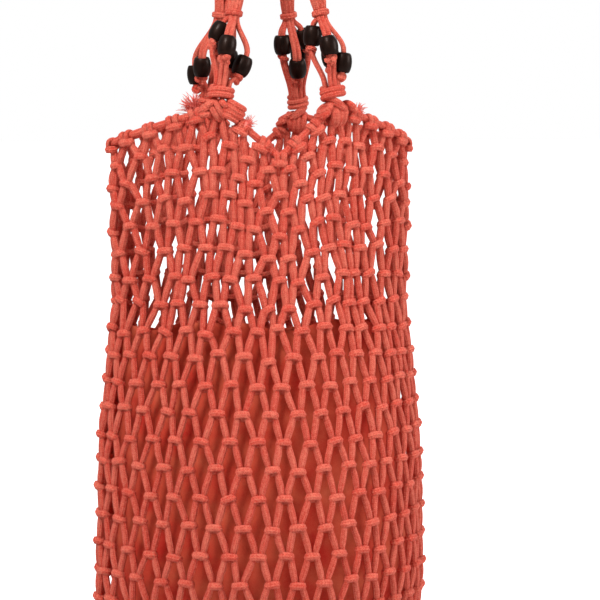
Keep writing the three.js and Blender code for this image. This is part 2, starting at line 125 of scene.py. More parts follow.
ALONG_STEPS, SHARE_STEPS = 201, 721
profile, PROFILE_LENGTH = profile_line(ALONG_STEPS)
girth = np.zeros(ALONG_STEPS)
outline = np.zeros((ALONG_STEPS, SHARE_STEPS, 2))
turn = np.linspace(0, 2 * math.pi, 1441)
for row, (_, wide, deep) in enumerate(profile):
    x = wide * np.sin(turn)
    y = -deep * np.sign(np.cos(turn)) * np.abs(np.cos(turn)) ** (2 / SIDE_FULLNESS)
    run = np.r_[0, np.cumsum(np.hypot(np.diff(x), np.diff(y)))]
    girth[row] = run[-1]
    even = np.linspace(0, run[-1], SHARE_STEPS)
    outline[row] = np.stack([np.interp(even, run, x), np.interp(even, run, y)], 1)


def girth_at(along):
    return np.interp(along, np.linspace(0, 1, ALONG_STEPS), girth)


def rim_rise(share):
    """Height of the rim above its corners, rounded a little at the peaks and notches."""
    total = 0
    for shift in (-0.004, 0, 0.004):
        half = np.mod((share + shift) * 2, 1)
        middle = np.minimum(half, 1 - half) / 2
        top = np.where(np.abs(np.mod(share + shift, 1) - 0.5) < 0.25, BACK_PEAK_RISE, PEAK_RISE)
        near = -NOTCH_DROP + (top + NOTCH_DROP) * middle / PEAK_SHARE
        far = top * (0.25 - middle) / (0.25 - PEAK_SHARE)
        total = total + np.minimum(near, far)
    return total / 3


def wall_skin(share, along):
    share, along = np.broadcast_arrays(np.asarray(share, float), np.asarray(along, float))
    share = np.mod(share, 1)
    row = np.clip(along, 0, 1) * (ALONG_STEPS - 1)
    column = share * (SHARE_STEPS - 1)
    r = np.minimum(row.astype(int), ALONG_STEPS - 2)
    c = np.minimum(column.astype(int), SHARE_STEPS - 2)
    fr, fc = (row - r)[..., None], (column - c)[..., None]
    flat = (outline[r, c] * (1 - fc) + outline[r, c + 1] * fc) * (1 - fr)
    flat = flat + (outline[r + 1, c] * (1 - fc) + outline[r + 1, c + 1] * fc) * fr
    size = profile[r] * (1 - fr) + profile[r + 1] * fr
    depth, wide = size[..., 0], size[..., 1]
    x, y = flat[..., 0], flat[..., 1]
    lift = BOTTOM_LIFT * (x / wide) ** 2 * along**8
    rise = rim_rise(share) * np.exp(-depth / RISE_FADE)
    hang = (1 - (x / wide) ** 2) * np.exp(-np.maximum(depth, 0) / HANG_FADE)
    x = x + hang * (MOUTH_SHIFT - np.where(y > 0, BACK_SQUEEZE * x, 0))
    return np.stack([x, y, -HANG_HEIGHT - depth + rise + lift], -1)


def unit(v):
    return v / np.maximum(np.linalg.norm(v, axis=-1, keepdims=True), 1e-12)


def wall(share, along, inset=0.0):
    """Points of the wall, with the directions round it, down it and out of it."""
    share, along = np.broadcast_arrays(np.asarray(share, float), np.asarray(along, float))
    step = 0.004
    high, low = np.maximum(along - step, 0), np.minimum(along + step, 1)
    around = unit(wall_skin(share + step, along) - wall_skin(share - step, along))
    down = unit(wall_skin(share, low) - wall_skin(share, high))
    out = unit(np.cross(down, around))
    bottom = along > 1 - step
    out[bottom] = (0, 0, -1)
    down[bottom] = np.cross(around[bottom], out[bottom])
    point = wall_skin(share, along) - out * np.asarray(inset)[..., None]
    return point, around, down, out


# ---------------------------------------------------------------- cords
def carried(lines):
    """Sideways directions that follow each line without twisting."""
    ahead = unit(np.gradient(lines, axis=1))
    start = np.where(np.abs(ahead[:, :1, 2:]) < 0.9, [[[0.0, 0, 1]]], [[[1.0, 0, 0]]])
    facing = np.zeros_like(lines)
    facing[:, 0] = unit(start[:, 0] - ahead[:, 0] * (start[:, 0] * ahead[:, 0]).sum(-1)[:, None])
    for k in range(1, lines.shape[1]):
        last = facing[:, k - 1]
        facing[:, k] = unit(last - ahead[:, k] * (last * ahead[:, k]).sum(-1)[:, None])
    return facing


class CordMesh:
    """Collects cords of one piece: rings round their lines, with a map along each cord."""

    def __init__(self):
        self.points, self.faces, self.maps, self.tones, self.count = [], [], [], [], 0

    def add(self, lines, radius, sides=8, facing=None, closed=False, squeeze=1.0, tone=None):
        lines = np.asarray(lines, float)
        if lines.ndim == 2:
            lines = lines[None]
        number, steps, _ = lines.shape
        if closed:
            ahead = unit(np.roll(lines, -1, 1) - np.roll(lines, 1, 1))
        else:
            ahead = unit(np.gradient(lines, axis=1))
        if facing is None:
            facing = carried(lines)
        facing = np.broadcast_to(np.asarray(facing, float), lines.shape)
        side = unit(np.cross(ahead, facing))
        out = unit(np.cross(side, ahead))
        angle = np.linspace(0, 2 * math.pi, sides, endpoint=False)
        thick = np.broadcast_to(np.asarray(radius, float), (number, steps))[..., None, None]
        flat = np.broadcast_to(np.asarray(squeeze, float), (number, steps))[..., None, None]
        ring = side[:, :, None] * np.cos(angle)[:, None]
        ring = ring + out[:, :, None] * np.sin(angle)[:, None] * flat
        points = lines[:, :, None] + ring * thick
        spans = steps if closed else steps - 1
        p, s = np.meshgrid(np.arange(spans), np.arange(sides), indexing="ij")
        p, s = p.ravel(), s.ravel()
        p1, s1 = (p + 1) % steps, (s + 1) % sides
        quads = np.stack([p * sides + s, p1 * sides + s, p1 * sides + s1, p * sides + s1], 1)
        gaps = np.linalg.norm(np.diff(lines, axis=1, append=lines[:, :1]), axis=-1)
        run = np.concatenate([np.zeros((number, 1)), np.cumsum(gaps, 1)], 1)
        u = np.stack([s, s, s + 1, s + 1], 1) / sides
        offsets = self.count + np.arange(number) * steps * sides
        shift = draw.random(number)
        tones = draw.random(number) if tone is None else np.full(number, tone)
        for n in range(number):
            self.faces.append(quads + offsets[n])
            v = run[n][np.stack([p, p + 1, p + 1, p], 1)] + shift[n]
            self.maps.append(np.stack([u, v], -1).reshape(-1, 2))
            if not closed:
                first = np.arange(sides)[None] + offsets[n]
                last = first[:, ::-1] + (steps - 1) * sides
                self.faces.extend([first, last])
                for end in (0, -1):
                    cap = np.stack([0.5 + 0.1 * np.cos(angle), shift[n] + 0.002 * np.sin(angle)], 1)
                    self.maps.append(cap)
        self.tones.append(np.repeat(tones, steps * sides))
        self.points.append(points.reshape(-1, 3))
        self.count += number * steps * sides

    def build(self, name, material):
        mesh = bpy.data.meshes.new(name)
        counts = np.concatenate([np.full(len(f), f.shape[1]) for f in self.faces])
        corners = np.concatenate([f.ravel() for f in self.faces])
        points = np.concatenate(self.points)
        mesh.vertices.add(len(points))
        mesh.vertices.foreach_set("co", points.astype(np.float32).ravel())
        mesh.loops.add(len(corners))
        mesh.loops.foreach_set("vertex_index", corners.astype(np.int32))
        mesh.polygons.add(len(counts))
        starts = np.r_[0, np.cumsum(counts)[:-1]]
        mesh.polygons.foreach_set("loop_start", starts.astype(np.int32))
        mesh.update(calc_edges=True)
        mesh.validate()
        chart = mesh.uv_layers.new(name="along_cord")
        chart.data.foreach_set("uv", np.concatenate(self.maps).astype(np.float32).ravel())
        tone = mesh.attributes.new("tone", "FLOAT", "POINT")
        tone.data.foreach_set("value", np.concatenate(self.tones).astype(np.float32))
        mesh.polygons.foreach_set("use_smooth", np.ones(len(counts), bool))
        piece = bpy.data.objects.new(name, mesh)
        scene.collection.objects.link(piece)
        mesh.materials.append(material)
        return piece


def keep(piece, slot, *nodes):
    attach(piece, "root")
    if nodes:
        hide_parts(*nodes)
    return piece


def smooth_line(points, steps, closed=False):
    """Even points on a smooth curve through the given ones."""
    points = np.asarray(points, float)
    count = len(points)
    if closed:
        ring = np.vstack([points[-1], points, points[0], points[1]])
        spans = count
    else:
        ring = np.vstack([2 * points[0] - points[1], points, 2 * points[-1] - points[-2]])
        spans = count - 1
    fine = []
    for t in np.linspace(0, spans, spans * 12 + 1):
        i = min(int(t), spans - 1)
        w = t - i
        p0, p1, p2, p3 = ring[i : i + 4]
        fine.append(
            0.5
            * (
                2 * p1
                + (p2 - p0) * w
                + (2 * p0 - 5 * p1 + 4 * p2 - p3) * w**2
                + (-p0 + 3 * p1 - 3 * p2 + p3) * w**3
            )
        )
    fine = np.array(fine)
    run = np.r_[0, np.cumsum(np.linalg.norm(np.diff(fine, axis=0), axis=1))]
    even = np.linspace(0, run[-1], steps + 1 if closed else steps)
    line = np.stack([np.interp(even, run, fine[:, k]) for k in range(3)], 1)
    return line[:-1] if closed else line


# ---------------------------------------------------------------- materials
def new_group(name, inputs, outputs):
    group = bpy.data.node_groups.new(name, "ShaderNodeTree")
    for label, kind, value in inputs:
        made = group.interface.new_socket(label, in_out="INPUT", socket_type=kind)
        if value is not None:
            made.default_value = value
    for label, kind in outputs:
        group.interface.new_socket(label, in_out="OUTPUT", socket_type=kind)
    return group, group.nodes.new("NodeGroupInput"), group.nodes.new("NodeGroupOutput")


def maths(tree, operation, a, b=None, clamp=False):
    node = tree.nodes.new("ShaderNodeMath")
    node.operation = operation
    node.use_clamp = clamp
    for socket, value in zip(node.inputs, (a, b)):
        if value is None:
            continue
        if isinstance(value, (int, float)):
            socket.default_value = value
        else:
            tree.links.new(value, socket)
    return node.outputs[0]


def mix_colours(tree, share, first, second, blend="MIX"):
    node = tree.nodes.new("ShaderNodeMix")
    node.data_type = "RGBA"
    node.blend_type = blend
    for socket, value in ((node.inputs[0], share), (node.inputs[6], first), (node.inputs[7], second)):
        if isinstance(value, (int, float)):
            socket.default_value = value
        elif isinstance(value, tuple):
            socket.default_value = (*value, 1)
        else:
            tree.links.new(value, socket)
    return node.outputs[2]


def noise(tree, vector, scale, detail=3.0, roughness=0.55):
    node = tree.nodes.new("ShaderNodeTexNoise")
    node.inputs["Scale"].default_value = scale
    node.inputs["Detail"].default_value = detail
    node.inputs["Roughness"].default_value = roughness
    tree.links.new(vector, node.inputs["Vector"])
    return node.outputs["Fac"]


def knit_group():
    """Stitches of a knitted cord on its map: ribs along it, with a chevron of loops on each."""
    group, given, made = new_group(
        "knitted_stitches",
        [("Ribs", "NodeSocketFloat", 8.0), ("Stitch", "NodeSocketFloat", 0.0018)],
        [("Height", "NodeSocketFloat"), ("Painted groove shade", "NodeSocketFloat")],
    )
    chart = group.nodes.new("ShaderNodeUVMap")
    chart.uv_map = "along_cord"
    split = group.nodes.new("ShaderNodeSeparateXYZ")
    group.links.new(chart.outputs[0], split.inputs[0])
    across = maths(group, "MULTIPLY", split.outputs[0], given.outputs["Ribs"])
    rib = maths(group, "PINGPONG", maths(group, "ADD", across, 0.5), 0.5)
    rib = maths(group, "MULTIPLY", rib, 2.0)
    length = maths(group, "DIVIDE", split.outputs[1], given.outputs["Stitch"])
    slanted = maths(group, "ADD", length, maths(group, "MULTIPLY", rib, 0.6))
    loop = maths(group, "SINE", maths(group, "MULTIPLY", slanted, 2 * math.pi))
    loop = maths(group, "MULTIPLY", maths(group, "ADD", loop, 1.0), 0.5)
    body = maths(group, "ADD", maths(group, "MULTIPLY", rib, 0.6), maths(group, "MULTIPLY", loop, 0.6))
    place = group.nodes.new("ShaderNodeTexCoord")
    fuzz = noise(group, place.outputs["Object"], 1200.0, 2.0)
    body = maths(group, "ADD", body, maths(group, "MULTIPLY", fuzz, 0.8))
    group.links.new(body, made.inputs["Height"])
    # The stitch relief as a share of colour: painted shade in the grooves between stitches, painted light on the stitch
    # tops
    group.links.new(maths(group, "MULTIPLY", body, 0.5, clamp=True), made.inputs["Painted groove shade"])
    return group


def cotton_cord(name, lit, deep, knit, bump=0.8):
    material = bpy.data.materials.new(name)
    material.use_nodes = True
    tree = material.node_tree
    shader = tree.nodes["Principled BSDF"]
    shader.inputs["Roughness"].default_value = 0.75
    shader.inputs["Sheen Weight"].default_value = 0.08
    shader.inputs["Sheen Roughness"].default_value = 0.5
    shader.inputs["Sheen Tint"].default_value = (1.0, 0.55, 0.48, 1)
    shader.inputs["Specular IOR Level"].default_value = 0.22
    stitches = tree.nodes.new("ShaderNodeGroup")
    stitches.node_tree = knit
    place = tree.nodes.new("ShaderNodeTexCoord")
    tone = tree.nodes.new("ShaderNodeAttribute")
    tone.attribute_name = "tone"
    patches = noise(tree, place.outputs["Object"], 38.0, 4.0)
    specks = noise(tree, place.outputs["Object"], 520.0, 3.0, 0.75)
    # The colour mixes a lit copy and a shaded copy of the cotton: random patches, cord tones and specks give tone that
    # differs at random, and the stitch relief paints shade into the grooves between stitches
    share = maths(tree, "ADD", maths(tree, "MULTIPLY", patches, 0.5), maths(tree, "MULTIPLY", tone.outputs["Fac"], 0.3))
    share = maths(tree, "ADD", share, maths(tree, "MULTIPLY", specks, 2.4))
    share = maths(tree, "ADD", share, maths(tree, "MULTIPLY", stitches.outputs["Painted groove shade"], 1.0))
    share = maths(tree, "SUBTRACT", share, 1.6, clamp=True)
    colour = mix_colours(tree, share, deep, lit)
    tree.links.new(colour, shader.inputs["Base Color"])
    relief = tree.nodes.new("ShaderNodeBump")
    relief.inputs["Strength"].default_value = bump
    relief.inputs["Distance"].default_value = 0.0015
    tree.links.new(stitches.outputs["Height"], relief.inputs["Height"])
    tree.links.new(relief.outputs["Normal"], shader.inputs["Normal"])
    return material


knit = knit_group()
# Lit and shaded copies of the coral cotton: painted light and painted shade along the stitches, and random tone
CORD_LIT = (0.96, 0.225, 0.145)
CORD_SHADE_AND_TONE = (0.76, 0.055, 0.032)
cord_material = cotton_cord("knitted_coral_cotton", CORD_LIT, CORD_SHADE_AND_TONE, knit)
frayed_material = cotton_cord("frayed_coral_cotton", (0.92, 0.25, 0.2), (0.8, 0.13, 0.1), knit, 0.15)


# ---------------------------------------------------------------- knotted net
KNOT_ROWS = (
    0.004, 0.027, 0.061, 0.096, 0.134, 0.175, 0.217, 0.260, 0.304, 0.348, 0.394,
    0.441, 0.488, 0.535, 0.583, 0.631, 0.680, 0.729, 0.780, 0.833, 0.886, 0.940, 1.0,
)
KNOTS_ROUND = 32
HALF_STEPS = 2 * KNOTS_ROUND
SEAM_ROW = len(KNOT_ROWS) - 1
LAST_OPEN_ROW = 10
CORD_RADIUS = 3.1 * MM
ROW_FULLNESS = ((0, 5, 10), (1.1, 1.09, 0.97))
LEG_INSET = 4.9 * MM
LEG_POINTS = 7
LEG_FULLNESS = np.array((0.8, 0.93, 1.02, 1.04, 1.02, 0.93, 0.78))
LEAVE_SPREAD = 3.7 * MM
ENTER_SPREAD = 2.3 * MM
KNOT_HALF_WIDTH = 4.75 * MM
KNOT_HALF_DEPTH = 3.1 * MM
KNOT_POINTS = 10

# How far the columns of a quarter, from a panel's middle to its side, are drawn towards the
# middle by the handles: shares of the way round in thousandths, at depths along the net
HUNG_ALONG = (0.0, 0.096, 0.217, 0.304, 0.4)
HUNG_PULL = (
    (0, 3.5, 7.0, 10.5, 12.5, 12.8, 10.0, 4.3, 0),
    (0, 2.0, 7.5, 13.0, 17.0, 18.5, 16.0, 8.0, 0),
    (0, -2.0, 0, 5.0, 10.5, 13.0, 11.5, 7.5, 0),
    (0, -0.6, 0, 1.5, 3.3, 4.3, 4.1, 3.3, 0),
    (0, 0, 0, 0, 0, 0, 0, 0, 0),
)

# The back's columns stand a little aside from the front's, and so show in its gaps: share of
# the way round, and how much of it at depths along the net and at shares round it
BACK_SLIDE = 0.010
SLIDE_DOWN = ((0.0, 0.05, 0.4, 0.6), (0.0, 1.0, 1.0, 0.0))
SLIDE_ROUND = ((0.36, 0.48, 0.68, 0.75), (0.0, 1.0, 1.0, 0.0))


def hung_share(share, along):
    """Columns hang closer together under the peaks, and spread towards the corners of the rim."""
    half = np.round(share * 2) / 2
    off = np.abs(share - half)
    quarter = np.linspace(0, 0.25, len(HUNG_PULL[0]))
    pulls = np.stack([np.interp(off, quarter, np.array(level) / 1000) for level in HUNG_PULL])
    place = np.interp(along, HUNG_ALONG, np.arange(len(HUNG_ALONG)))
    low = np.minimum(place.astype(int), len(HUNG_ALONG) - 2)
    above, below = (np.take_along_axis(pulls, (low + k)[None], 0)[0] for k in (0, 1))
    pull = above + (below - above) * (place - low)
    return share - np.sign(share - half) * pull


rows = np.arange(SEAM_ROW + 1)[:, None]
half_step = 2 * np.arange(KNOTS_ROUND)[None] + rows % 2
knot_along = np.array(KNOT_ROWS)[:, None] + np.zeros((1, KNOTS_ROUND))
loose = np.ones_like(knot_along)
loose[0] = 0.2
loose[1:LAST_OPEN_ROW] = 1.7
loose[SEAM_ROW] = 0
knot_share = hung_share(half_step / HALF_STEPS, knot_along)
aside = np.interp(knot_along, *SLIDE_DOWN) * np.interp(knot_share, *SLIDE_ROUND)
knot_share = knot_share + BACK_SLIDE * aside
knot_share = knot_share + loose * draw.normal(0, 0.9 * MM, loose.shape) / girth_at(knot_along)
knot_along = knot_along + loose * draw.normal(0, 0.9 * MM, loose.shape) / PROFILE_LENGTH
knot_inset = LEG_INSET + np.minimum(loose, 1) * draw.normal(0, 0.35 * MM, loose.shape)


def leg_lines(row, side):
    """Cords from each knot of a row down to its neighbour in the next row."""
    columns = np.arange(KNOTS_ROUND)
    reach = (half_step[row] + side - half_step[row + 1, 0]) // 2
    target = np.mod(reach, KNOTS_ROUND)
    wrap = np.round((half_step[row] + side - half_step[row + 1, target]) / HALF_STEPS)
    t = np.linspace(0, 1, LEG_POINTS)[None]
    size = girth_at(knot_along[row])[:, None]
    start = knot_share[row, columns][:, None] + side * LEAVE_SPREAD / size
    finish = (knot_share[row + 1, target] + wrap)[:, None] - side * ENTER_SPREAD / size
    bend = 0.75 * t + 0.25 * t * t * (3 - 2 * t)
    share = start + (finish - start) * bend
    share = share + draw.normal(0, 0.35 * MM, (KNOTS_ROUND, 1)) * np.sin(math.pi * t) / size
    top, low = knot_along[row, columns][:, None], knot_along[row + 1, target][:, None]
    along = top + (low - top) * t
    inset = knot_inset[row][:, None] * (1 - t) + knot_inset[row + 1, target][:, None] * t
    inset = inset + draw.normal(-0.2 * MM, 0.5 * MM, (KNOTS_ROUND, 1)) * np.sin(math.pi * t)
    points, _, _, out = wall(share, along, inset)
    if row == 0:
        points[:, 0] = points[:, 0] + (0, 0, 5 * MM)
    if row + 1 == SEAM_ROW:
        meet = t[..., None] ** 2
        flat = points.copy()
        flat[..., 1] = 0
        points = points * (1 - meet) + flat * meet
    return points, out, share


def knot_rings(row, wide, deep, lean, height):
    """Closed loops of cord that bind the two cords of each knot: a bar in front, lower behind."""
    place, around, down, out = wall(knot_share[row], knot_along[row], knot_inset[row])
    roll = draw.normal(0, math.radians(10 if row < LAST_OPEN_ROW else 6), KNOTS_ROUND)[:, None]
    if row:
        around = unit(around * (1, 1, 0.35))
        down = unit(np.cross(around, out))
    across = around * np.cos(roll) + down * np.sin(roll)
    under = down * np.cos(roll) - around * np.sin(roll)
    grow = draw.normal(1, 0.06, KNOTS_ROUND)[:, None, None]
    angle = np.linspace(0, 2 * math.pi, KNOT_POINTS, endpoint=False)
    x = np.sign(np.sin(angle)) * np.abs(np.sin(angle)) ** 0.8 * wide
    depth = np.sign(np.cos(angle)) * np.abs(np.cos(angle)) ** 0.8 * deep
    drop = lean * (1 - np.cos(angle)) / 2 + height
    lines = place[:, None] + across[:, None] * (x[:, None] * grow)
    lines = lines + out[:, None] * depth[:, None] + under[:, None] * drop[:, None]
    return lines, -under[:, None], place, out


net_front, net_back = CordMesh(), CordMesh()


def half_of(row, points_share):
    """True for the knots of the front half."""
    at = np.mod(points_share + 0.25, 1)
    return at < 0.5


for row in range(SEAM_ROW):
    for side in (-1, 1):
        lines, out, share = leg_lines(row, side)
        front = half_of(row, share[:, 0])
        for mesh, chosen in ((net_front, front), (net_back, ~front)):
            full = CORD_RADIUS * LEG_FULLNESS * np.interp(row, *ROW_FULLNESS)
            mesh.add(lines[chosen], full, 6, out[chosen])
for row in range(1, SEAM_ROW):
    lines, up, _, _ = knot_rings(row, KNOT_HALF_WIDTH, KNOT_HALF_DEPTH, 2.6 * MM, -0.6 * MM)
    front = half_of(row, knot_share[row])
    for mesh, chosen in ((net_front, front), (net_back, ~front)):
        mesh.add(lines[chosen], 2.7 * MM, 6, up[chosen], closed=True, squeeze=1.3)

# Bottom: the cords of both panels are drawn together in knots along one line
seam_share = half_step[SEAM_ROW] / HALF_STEPS
seam_place, seam_around, _, _ = wall(seam_share, 1.0, 0.0)
seam_front = half_of(SEAM_ROW, seam_share) & (np.abs(seam_share - 0.25) > 0.01)
angle = np.linspace(0, 2 * math.pi, KNOT_POINTS, endpoint=False)
for place in seam_place[seam_front]:
    middle = place * (1, 0, 1) + (0, 0, 3.5 * MM)
    ring = np.stack([4.2 * MM * np.sin(angle), 6.5 * MM * np.cos(angle), 0 * angle], 1)
    net_front.add(middle + ring, 2.5 * MM, 8, (0, 0, 1), closed=True, squeeze=1.25)
seam_line = smooth_line(seam_place[seam_front][np.argsort(seam_place[seam_front][:, 0])] * (1, 0, 1), 60)
net_back.add(seam_line + (0, 0, 1.0 * MM), CORD_RADIUS, 8, (0, 0, 1))

keep(net_front.build("net_front", cord_material), "cord", "net_body")
keep(net_back.build("net_back", cord_material), "cord", "net_body")

# ---------------------------------------------------------------- rim
RIM_CORD_RADIUS = 3.2 * MM
RIM_LIFT = 5.8 * MM
PEAKS = {"front_left": 33 / 36, "front_right": 3 / 36, "back_left": 21 / 36, "back_right": 15 / 36}


def rim_frame(share):
    """Middle of the holding cord at shares of the way round, with its run, its upper side and out."""
    point, around, _, out = wall(share, 0.0, NET_WALL / 2)
    out = unit(out * (1, 1, 0))
    above = unit(np.cross(around, out))
    above = above * np.sign(above[..., 2:])
    return point + above * RIM_LIFT, around, above, out


rim = CordMesh()
rim_share = np.linspace(0, 1, 216, endpoint=False)
line, _, above, _ = rim_frame(rim_share)
rim.add(line, RIM_CORD_RADIUS, 10, above, closed=True)
keep(rim.build("rim_holding_cord", cord_material), "cord", "rim_cord")

hitches = CordMesh()
near_peak = np.min([np.abs(np.mod(knot_share[0] - peak + 0.5, 1) - 0.5) for peak in PEAKS.values()], 0)
hitch_share = knot_share[0][near_peak > 0.5 / KNOTS_ROUND]
angle = np.linspace(0, 2 * math.pi, 14, endpoint=False)
middle, run, above, out = rim_frame(hitch_share)
for side in (-1, 1):
    lean = draw.normal(0, 0.1, len(hitch_share))[:, None] + side * 0.06
    up = unit(above + run * lean)
    shift = side * (2.6 * MM + draw.normal(0, 0.25 * MM, len(hitch_share)))[:, None]
    centre = middle + run * shift - above * 0.7 * MM
    lines = centre[:, None] + up[:, None] * (4.8 * MM * np.cos(angle))[:, None]
    lines = lines + out[:, None] * (4.4 * MM * np.sin(angle))[:, None]
    hitches.add(lines, 1.6 * MM, 6, run[:, None], closed=True, squeeze=1.8)
level = unit(run * (1, 1, 0.7) + draw.normal(0, 0.05, run.shape))
under = unit(np.cross(level, out))
centre = middle - above * 5.0 * MM + out * 1.6 * MM
lines = centre[:, None] + level[:, None] * (5.0 * MM * np.cos(angle))[:, None]
lines = lines + out[:, None] * (2.6 * MM * np.sin(angle))[:, None]
hitches.add(lines, 2.75 * MM, 6, under[:, None], closed=True, squeeze=1.3)
keep(hitches.build("rim_hitches", cord_material), "cord", "rim_cord")

# ---------------------------------------------------------------- handle ends
GATHER_HEIGHT = 13 * MM
BASKET_HEIGHTS = {"front": 59 * MM, "back": 68 * MM}
WINDINGS = {"front": (8.8 * MM, 2.75 * MM), "back": (7.5 * MM, 2.4 * MM)}
FRONT_AIM = 14 * MM
BASKET_RADIUS = 12.5 * MM
WRAP_HEIGHT = 6 * MM
BEAD_HEIGHT = 17 * MM
STRAND_STRAIGHT = 1 * MM
HANDLE_THICKNESS = 15 * MM
HANDLE_ARCH = 40 * MM
FOOT_RADIUS = 5.65 * MM
HEAD_RADIUS = 3.7 * MM
HANDLE_CORD_RADIUS = 2.1 * MM
BEADS = {
    "front_left": {
        "upper": (-0.8, 0.1, 0.745, 18),
        "middle": (-0.27, -1.0, 0.52, 4),
        "rear": (0.35, 1.15, 0.415, -8),
        "lower": (1.13, 0.0, 0.317, -14),
    },
    "front_right": {
        "upper": (-0.72, 0.35, 0.745, 14),
        "middle": (0.0, -1.0, 0.528, 4),
        "rear": (0.5, 1.15, 0.44, -8),
        "lower": (0.93, -0.35, 0.28, -14),
    },
    "back_left": {
        "upper": (0.3, 0.95, 0.72, 14),
        "middle": (0.9, -0.35, 0.5, 4),
        "rear": (-0.95, -0.7, 0.36, -8),
        "lower": (-1.05, 0.7, 0.22, -14),
    },
    "back_right": {
        "upper": (0.95, 0.05, 0.72, 12),
        "middle": (-0.75, -0.45, 0.688, 4),
        "rear": (0.7, 1.1, 0.49, -8),
        "lower": (0.05, -1.0, 0.374, -14),
    },
}


def bezier(p0, p1, p2, p3, steps):
    t = np.linspace(0, 1, steps)[:, None]
    return p0 * (1 - t) ** 3 + 3 * p1 * t * (1 - t) ** 2 + 3 * p2 * t * t * (1 - t) + p3 * t**3


def corner_points(node):
    points = np.array([v.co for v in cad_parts[node].data.vertices])
    return np.unique(points.round(5), axis=0)


def turned_from_up(axis):
    return np.array(Vector((0, 0, 1)).rotation_difference(Vector(axis)).to_matrix())


class HandleEnd:
    """Place of one handle end: its axis leans from its seat on the rim to the handle's top."""

    def __init__(self, name):
        self.name = name
        depth = 1 if name.startswith("back") else -1
        self.height = BASKET_HEIGHTS[name.split("_")[0]]
        self.top = np.array((0, depth * (HANDLE_THICKNESS / 2 + FIT_GAP), HANDLE_THICKNESS / 2))
        middle = corner_points("gather_" + name).mean(0)
        self.axis = unit(self.top + (FRONT_AIM * (depth < 0), 0, 0) - middle)
        self.turn = turned_from_up(self.axis)
        self.seat = middle - self.axis * GATHER_HEIGHT / 2
        self.basket = self.seat + self.axis * (GATHER_HEIGHT + FIT_GAP)
        self.start = self.basket + self.axis * (self.height + WRAP_HEIGHT + FIT_GAP)

    def from_seat(self, points):
        return self.seat + np.asarray(points) @ self.turn.T

    def from_basket(self, points):
        return self.basket + np.asarray(points) @ self.turn.T


ends = {name: HandleEnd(name) for name in BEADS}


def strand_marks(height, across, back, rise, tilt):
    """Outward direction, bead centre and bead axis of a strand, in its basket's own frame."""
    off = np.array((across, back, 0)) * BASKET_RADIUS
    outward = unit(off)
    centre = off + (0, 0, rise * height)
    direction = unit(np.array((0, 0, 1)) - outward * math.tan(math.radians(tilt)))
    return outward, centre, direction


def strand_line(height, outward, centre, direction, side, slot):
    """One of the two cords of a strand: foot, through its bead, head in the wrap."""
    up = np.array((0, 0, 1.0))
    beside = unit(np.cross(up, outward)) * side * 1.95 * MM
    straight = BEAD_HEIGHT / 2 + STRAND_STRAIGHT
    below, above = centre - direction * straight, centre + direction * straight
    foot = outward * FOOT_RADIUS + up * 1.5 * MM
    head = np.array((math.cos(slot), math.sin(slot), 0)) * HEAD_RADIUS + up * height
    lower, upper = np.linalg.norm(below - foot) / 3, np.linalg.norm(head - above) / 3
    parts = [
        [foot + beside - up * 9 * MM],
        bezier(foot + beside, foot + beside + up * lower, below + beside - direction * lower, below + beside, 9),
        np.linspace(below + beside, above + beside, 7)[1:-1],
        bezier(above + beside, above + beside + direction * upper, head - up * upper, head, 11),
        [head + up * 3.5 * MM],
    ]
    return np.vstack(parts)


def helix(radius, low, high, turns, steps, start=0.0):
    t = np.linspace(0, 1, steps)
    angle = start + t * turns * 2 * math.pi
    return np.stack([radius * np.cos(angle), radius * np.sin(angle), low + (high - low) * t], 1)


def stopper_knot():
    """Overhand knot, as a closed line round its own middle."""
    t = np.linspace(0, 2 * math.pi, 36, endpoint=False)
    knot = np.stack([np.sin(t) + 2 * np.sin(2 * t), np.cos(t) - 2 * np.cos(2 * t), -1.25 * np.sin(3 * t)], 1)
    return knot * 1.42 * MM


# Bead: half of a barrel's section, turned about its axis, modelled once
BEAD_SECTION = (
    (4.0, 7.6), (4.5, 8.3), (5.2, 8.5), (5.9, 8.35), (6.5, 7.6), (7.15, 6.0), (7.6, 4.2), (7.92, 2.0), (8.0, 0.0),
)
bead_half = [(x, z) for x, z in BEAD_SECTION]
bead_profile = bead_half + [(x, -z) for x, z in reversed(bead_half[:-1])]
bpy.ops.mesh.primitive_circle_add(vertices=3, radius=1)
bead_model = bpy.context.object
bead_model.name = "bead_model"
shape = bmesh.new()
ring = [shape.verts.new((x * MM, 0, z * MM)) for x, z in bead_profile]
for k, point in enumerate(ring):
    shape.edges.new((point, ring[(k + 1) % len(ring)]))
shape.to_mesh(bead_model.data)
shape.free()
spin = bead_model.modifiers.new("turned", "SCREW")
spin.steps = spin.render_steps = 28
spin.use_merge_vertices = True
spin.merge_threshold = 1e-6
bpy.ops.object.modifier_apply(modifier="turned")
bpy.ops.object.mode_set(mode="EDIT")
bpy.ops.mesh.select_all(action="SELECT")
bpy.ops.mesh.remove_doubles(threshold=1e-6)
bpy.ops.mesh.normals_make_consistent(inside=False)
bpy.ops.object.mode_set(mode="OBJECT")
bpy.ops.object.shade_smooth_by_angle(angle=math.radians(50))
bpy.ops.object.select_all(action="DESELECT")


